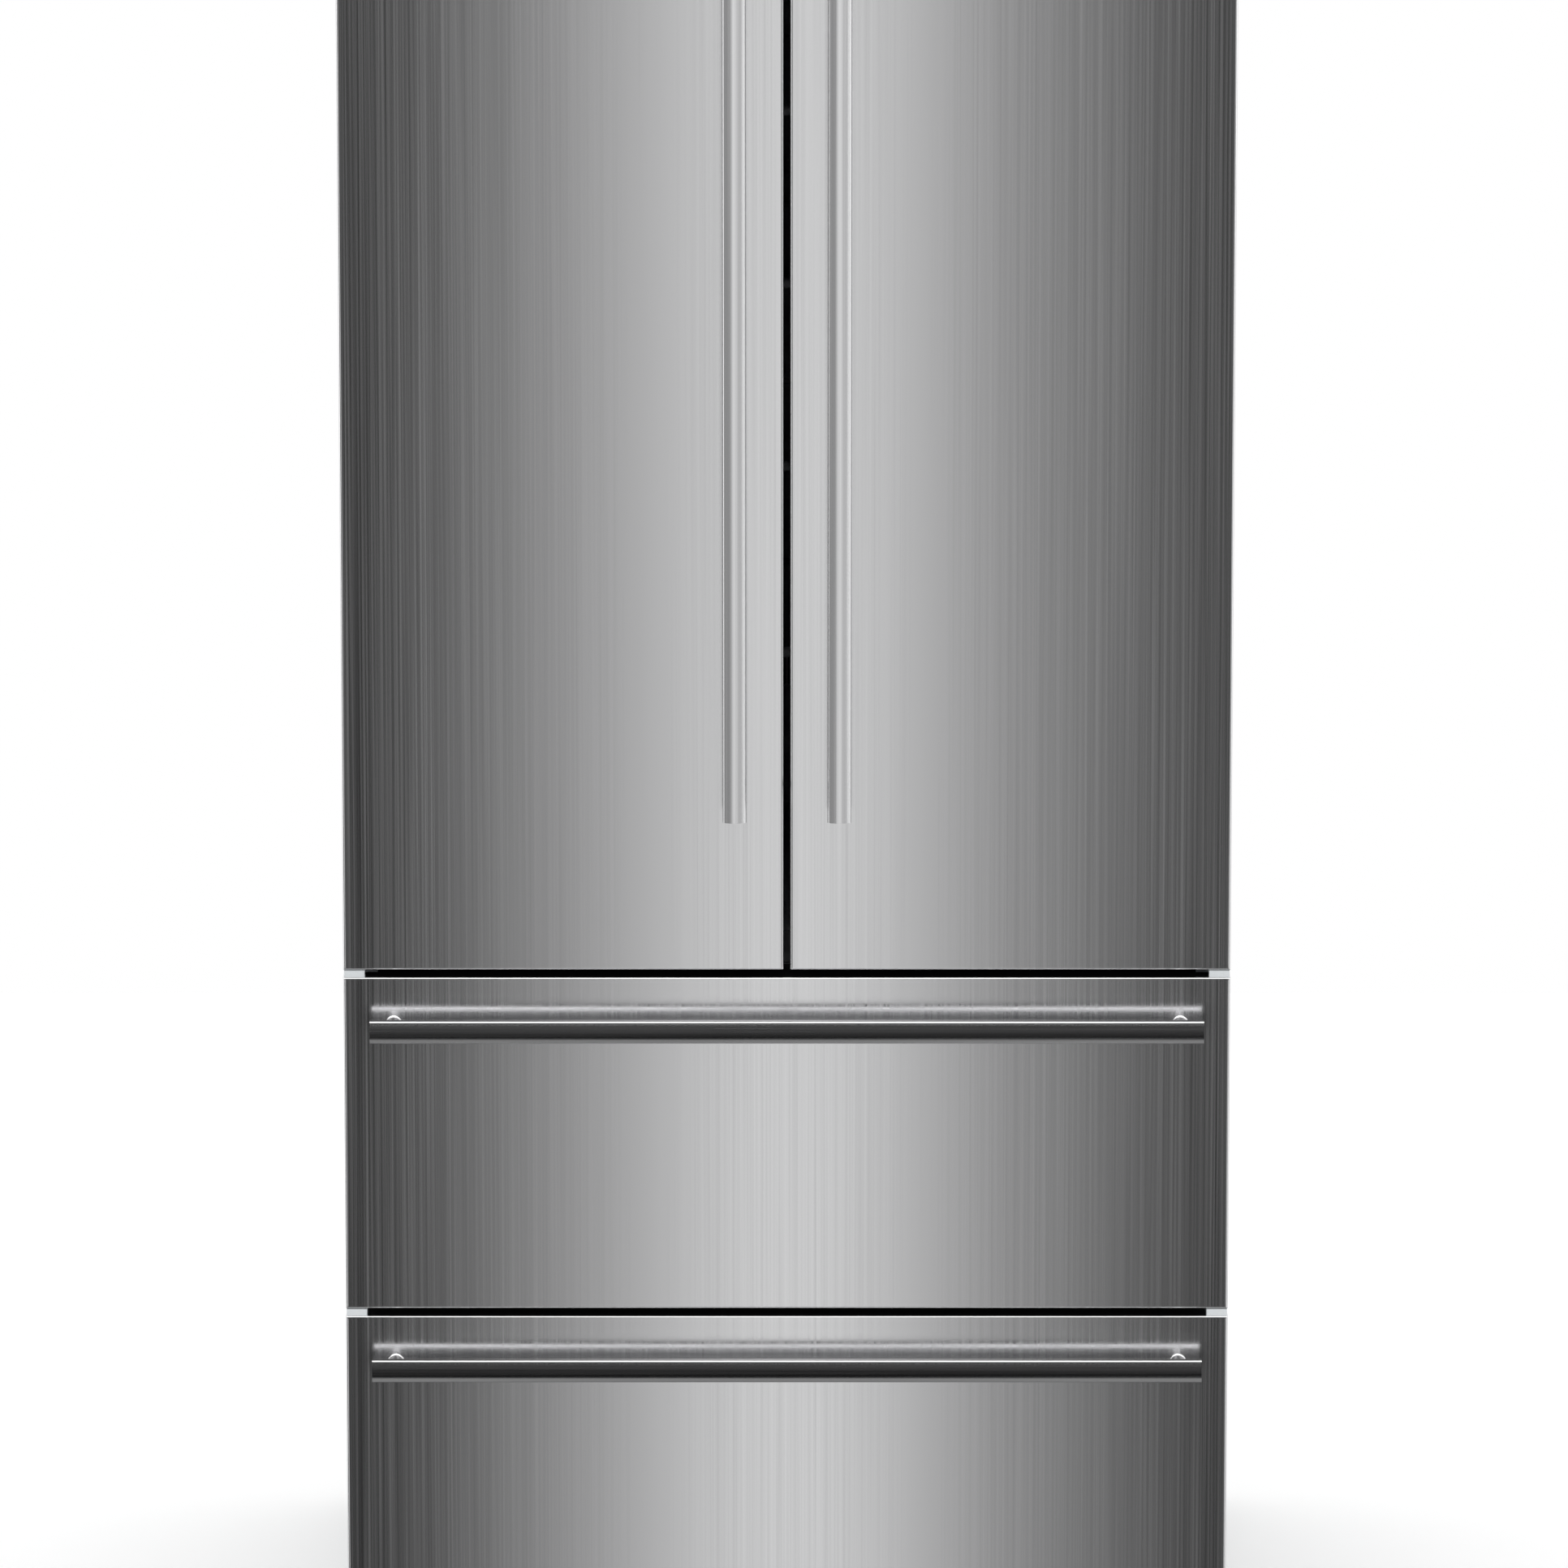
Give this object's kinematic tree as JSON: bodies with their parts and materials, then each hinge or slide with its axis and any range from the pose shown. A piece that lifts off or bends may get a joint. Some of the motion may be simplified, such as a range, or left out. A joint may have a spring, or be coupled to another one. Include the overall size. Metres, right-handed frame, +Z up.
{
  "type": "french door refrigerator",
  "caption": "Freestanding refrigerator with paired upper doors over stacked freezer drawers, brushed fronts and slim bar handles.",
  "frame": {"origin": "floor level, in the middle of the overall width and depth", "axes": "+Z up, -Y out of the doors towards the user, +X to the user's right"},
  "size_m": [0.835, 0.7349, 1.8],
  "materials": {
    "stainless_front": "satin",
    "stainless_grip": "satin",
    "painted_case": "satin",
    "galvanised_sheet": "matte",
    "foam": "matte",
    "white_liner": "satin",
    "black_plastic": "matte",
    "grey_seal": "matte",
    "zinc_steel": "satin",
    "grey_cover": "matte",
    "black_enamel": "satin",
    "aluminium_fins": "satin",
    "shelf_glass": "gloss",
    "shelf_trim": "satin",
    "clear_plastic": "gloss",
    "white_basket": "satin",
    "white_mullion": "satin",
    "foot_rubber": "matte",
    "roller_nylon": "satin",
    "fan_plastic": "matte",
    "inlet_plastic": "matte"
  },
  "bodies": {
    "cabinet": {"outer_case": "painted_case", "back_panel": "galvanised_sheet", "base_plate": "galvanised_sheet", "insulation_foam": "foam", "fridge_liner": "white_liner", "freezer_liners": "white_liner", "cross_rails": "painted_case", "hinge_brackets": "zinc_steel", "hinge_covers": "grey_cover", "toe_grille": "grey_cover", "bay_cover": "black_plastic", "compressor": "black_enamel", "heat_exchangers": "aluminium_fins", "air_covers": "white_liner", "shelf_glass": "shelf_glass", "shelf_trims": "shelf_trim", "crisper_pans": "clear_plastic", "ceiling_fittings": "white_liner", "fixed_slides": "zinc_steel", "power_inlet": "inlet_plastic", "fan_motors": "galvanised_sheet"},
    "left_door": {"left_door_skin": "stainless_front", "left_door_foam": "foam", "left_door_gasket": "grey_seal", "left_door_end_caps": "black_plastic", "left_door_handle": "stainless_grip", "left_door_bins": "clear_plastic", "left_door_inner_panel": "white_liner"},
    "right_door": {"right_door_skin": "stainless_front", "right_door_foam": "foam", "right_door_gasket": "grey_seal", "right_door_end_caps": "black_plastic", "right_door_handle": "stainless_grip", "right_door_bins": "clear_plastic", "right_door_inner_panel": "white_liner"},
    "upper_drawer": {"upper_drawer_skin": "stainless_front", "upper_drawer_foam": "foam", "upper_drawer_inner_panel": "white_liner", "upper_drawer_gasket": "grey_seal", "upper_drawer_end_caps": "black_plastic", "upper_drawer_handle": "stainless_grip", "upper_drawer_basket": "white_basket", "upper_drawer_runners": "zinc_steel"},
    "lower_drawer": {"lower_drawer_skin": "stainless_front", "lower_drawer_foam": "foam", "lower_drawer_inner_panel": "white_liner", "lower_drawer_gasket": "grey_seal", "lower_drawer_end_caps": "black_plastic", "lower_drawer_handle": "stainless_grip", "lower_drawer_basket": "white_basket", "lower_drawer_runners": "zinc_steel"},
    "mullion": {"mullion_bar": "white_mullion"},
    "upper_slide": {"upper_slide_middle": "zinc_steel"},
    "lower_slide": {"lower_slide_middle": "zinc_steel"},
    "foot_left": {"front_foot_left": "foot_rubber"},
    "foot_right": {"front_foot_right": "foot_rubber"},
    "roller_left": {"rear_roller_left": "roller_nylon"},
    "roller_right": {"rear_roller_right": "roller_nylon"},
    "fan_condenser": {"condenser_fan": "fan_plastic"},
    "fan_evaporator": {"evaporator_fan": "fan_plastic"}
  },
  "joints": [
    {"name": "left_door_hinge", "type": "hinge", "parent": "cabinet", "child": "left_door", "pos_m": [-0.3995, -0.2975, 1.24], "axis": [0, 0, -1], "range_deg": [0, 125]},
    {"name": "right_door_hinge", "type": "hinge", "parent": "cabinet", "child": "right_door", "pos_m": [0.3995, -0.2975, 1.24], "axis": [0, 0, 1], "range_deg": [0, 125]},
    {"name": "mullion_fold", "type": "hinge", "parent": "left_door", "child": "mullion", "pos_m": [-0.032, -0.2482, 1.22], "axis": [0, 0, -1], "range_deg": [0, 90]},
    {"name": "upper_drawer_slide", "type": "slide", "parent": "cabinet", "child": "upper_drawer", "axis": [0, -1, 0], "range_m": [0, 0.4]},
    {"name": "upper_slide_middle_slide", "type": "slide", "parent": "cabinet", "child": "upper_slide", "axis": [0, -1, 0], "range_m": [0, 0.2]},
    {"name": "lower_drawer_slide", "type": "slide", "parent": "cabinet", "child": "lower_drawer", "axis": [0, -1, 0], "range_m": [0, 0.28]},
    {"name": "lower_slide_middle_slide", "type": "slide", "parent": "cabinet", "child": "lower_slide", "axis": [0, -1, 0], "range_m": [0, 0.14]},
    {"name": "left_foot_screw", "type": "slide", "parent": "cabinet", "child": "foot_left", "axis": [0, 0, -1], "range_m": [0, 0.015]},
    {"name": "right_foot_screw", "type": "slide", "parent": "cabinet", "child": "foot_right", "axis": [0, 0, -1], "range_m": [0, 0.015]},
    {"name": "left_roller_axle", "type": "hinge", "parent": "cabinet", "child": "roller_left", "pos_m": [-0.34, 0.3, 0.0175], "axis": [1, 0, 0], "continuous": true},
    {"name": "right_roller_axle", "type": "hinge", "parent": "cabinet", "child": "roller_right", "pos_m": [0.34, 0.3, 0.0175], "axis": [1, 0, 0], "continuous": true},
    {"name": "condenser_fan_shaft", "type": "hinge", "parent": "cabinet", "child": "fan_condenser", "pos_m": [0.06, 0.2505, 0.119], "axis": [1, 0, 0], "continuous": true},
    {"name": "evaporator_fan_shaft", "type": "hinge", "parent": "cabinet", "child": "fan_evaporator", "pos_m": [0, 0.2185, 0.6105], "axis": [0, -1, 0], "continuous": true}
  ],
  "couplings": [
    {"joint": "upper_slide_middle_slide", "follows": "upper_drawer_slide", "ratio": 0.5},
    {"joint": "lower_slide_middle_slide", "follows": "lower_drawer_slide", "ratio": 0.5}
  ]
}
